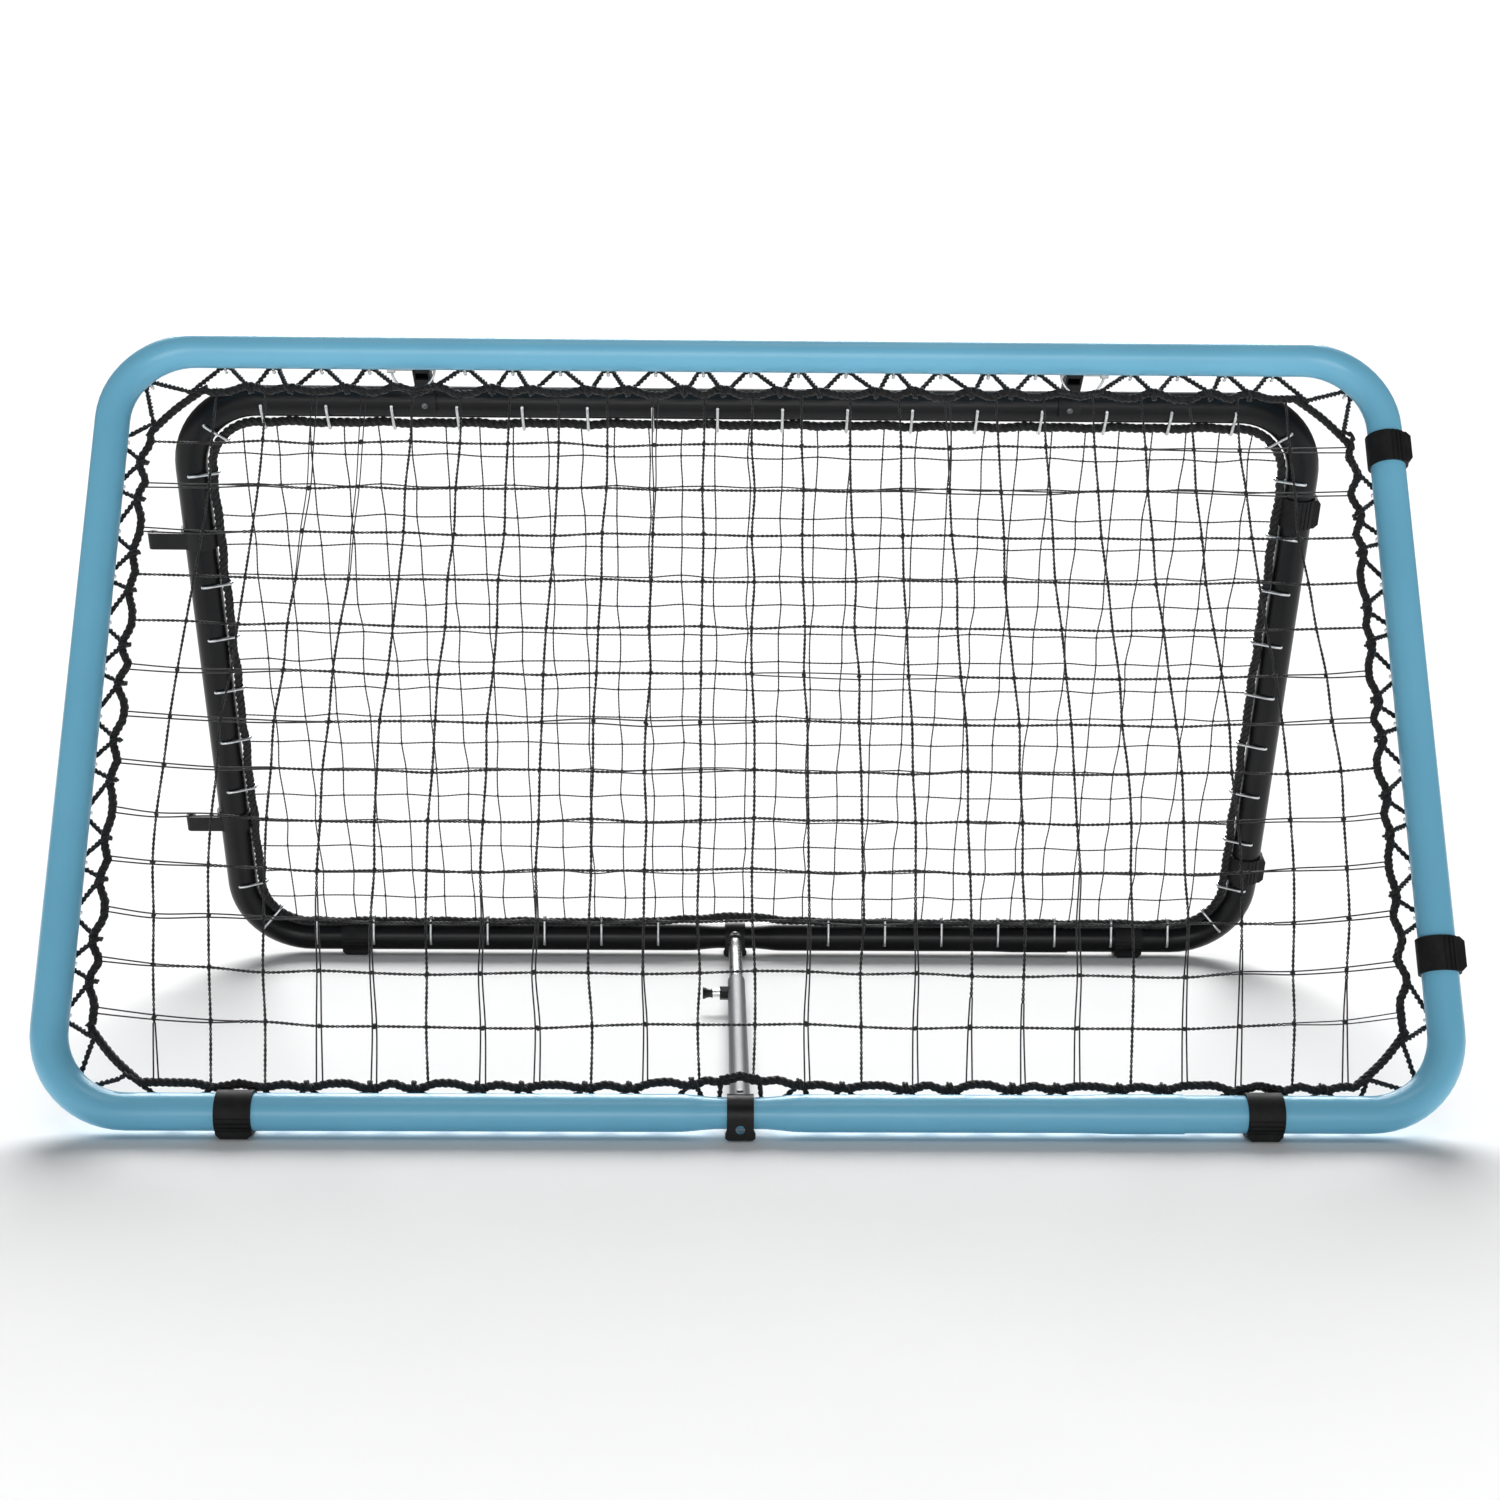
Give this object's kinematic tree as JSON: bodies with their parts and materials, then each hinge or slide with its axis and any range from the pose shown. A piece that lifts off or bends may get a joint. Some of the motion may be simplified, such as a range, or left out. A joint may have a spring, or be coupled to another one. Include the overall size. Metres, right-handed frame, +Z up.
{
  "type": "pitch back rebounder",
  "caption": "Two-sided ball rebounder: two netted tube frames leaning together as an A, joined by hinged arms on top and a telescopic strut at the base.",
  "frame": {"origin": "on the floor, under the middle of the object's overall box", "axes": "+X to the right across the frames seen from the blue front frame, +Y from the front frame towards the rear frame, +Z up"},
  "size_m": [1.2, 0.638, 0.6573],
  "materials": {
    "blue_paint": "gloss",
    "black_paint": "gloss",
    "bracket_paint": "satin",
    "grey_paint": "satin",
    "zinc_tube": "satin",
    "bright_pin": "polished",
    "zinc_wire": "satin",
    "rivet_steel": "satin",
    "foot_rubber": "matte",
    "black_plastic": "matte",
    "net_cord": "matte",
    "rope": "matte"
  },
  "bodies": {
    "front_frame": {"front_tube": "blue_paint", "front_net": "net_cord", "front_border_rope": "rope", "front_lacing": "rope", "front_hooks": "zinc_wire", "front_foot_left": "foot_rubber", "front_foot_right": "foot_rubber", "front_bumper_lower": "foot_rubber", "front_bumper_upper": "foot_rubber", "hinge_lug_left": "bracket_paint", "hinge_lug_right": "bracket_paint", "lug_rivets": "rivet_steel"},
    "left_pin": {"hinge_pin_left": "zinc_wire"},
    "left_ring": {"snap_ring_left": "zinc_wire"},
    "right_pin": {"hinge_pin_right": "zinc_wire"},
    "right_ring": {"snap_ring_right": "zinc_wire"},
    "rear_frame": {"rear_tube": "black_paint", "rear_net": "net_cord", "rear_border_rope": "rope", "rear_hooks": "zinc_wire", "rear_foot_left": "foot_rubber", "rear_foot_right": "foot_rubber", "rear_bumper_lower": "foot_rubber", "rear_bumper_upper": "foot_rubber", "link_eye_upper": "bracket_paint", "link_eye_lower": "bracket_paint", "hinge_arm_left": "bracket_paint", "hinge_arm_right": "bracket_paint", "arm_rivets": "rivet_steel"},
    "outer_strut": {"strut_outer_tube": "grey_paint", "front_strap": "bracket_paint", "guide_bush": "black_plastic", "pin_nut": "bracket_paint", "front_strap_rivet": "rivet_steel"},
    "pull_pin": {"pin_plunger": "bright_pin", "pin_knob": "black_plastic", "pin_spring": "zinc_wire"},
    "inner_strut": {"strut_inner_tube": "zinc_tube", "rear_strap": "bracket_paint", "rear_strap_rivet": "rivet_steel"}
  },
  "joints": [
    {"name": "frame_fold", "type": "hinge", "parent": "front_frame", "child": "rear_frame", "pos_m": [-0.002, 0.04751, 0.62881], "axis": [1, 0, 0], "range_deg": [-7.02, 4.68]},
    {"name": "strut_swing", "type": "hinge", "parent": "front_frame", "child": "outer_strut", "pos_m": [-0.011, -0.301, 0.0195], "axis": [1, 0, 0], "range_deg": [-2.99, 2.01]},
    {"name": "strut_slide", "type": "slide", "parent": "outer_strut", "child": "inner_strut", "axis": [0, 1, 0], "range_m": [-0.0752, 0.0502]},
    {"name": "pin_pull", "type": "slide", "parent": "outer_strut", "child": "pull_pin", "axis": [1, 0, 0], "range_m": [0, 0.0044], "stiffness_N_per_m": 250, "springref_m": 0.0044},
    {"name": "left_pin_shift", "type": "slide", "parent": "front_frame", "child": "left_pin", "axis": [-1, 0, 0], "range_m": [-0.015, 0.0006]},
    {"name": "right_pin_shift", "type": "slide", "parent": "front_frame", "child": "right_pin", "axis": [1, 0, 0], "range_m": [-0.015, 0.0006]},
    {"name": "left_ring_flip", "type": "hinge", "parent": "left_pin", "child": "left_ring", "pos_m": [-0.33915, 0.04751, 0.62881], "axis": [0, 0, -1], "range_deg": [0, 10]},
    {"name": "right_ring_flip", "type": "hinge", "parent": "right_pin", "child": "right_ring", "pos_m": [0.33115, 0.04751, 0.62881], "axis": [0, 0, 1], "range_deg": [0, 10]}
  ],
  "couplings": [
    {"joint": "strut_swing", "follows": "frame_fold", "ratio": 0.41888},
    {"joint": "strut_slide", "follows": "frame_fold", "m_per_rad": 0.61251}
  ]
}
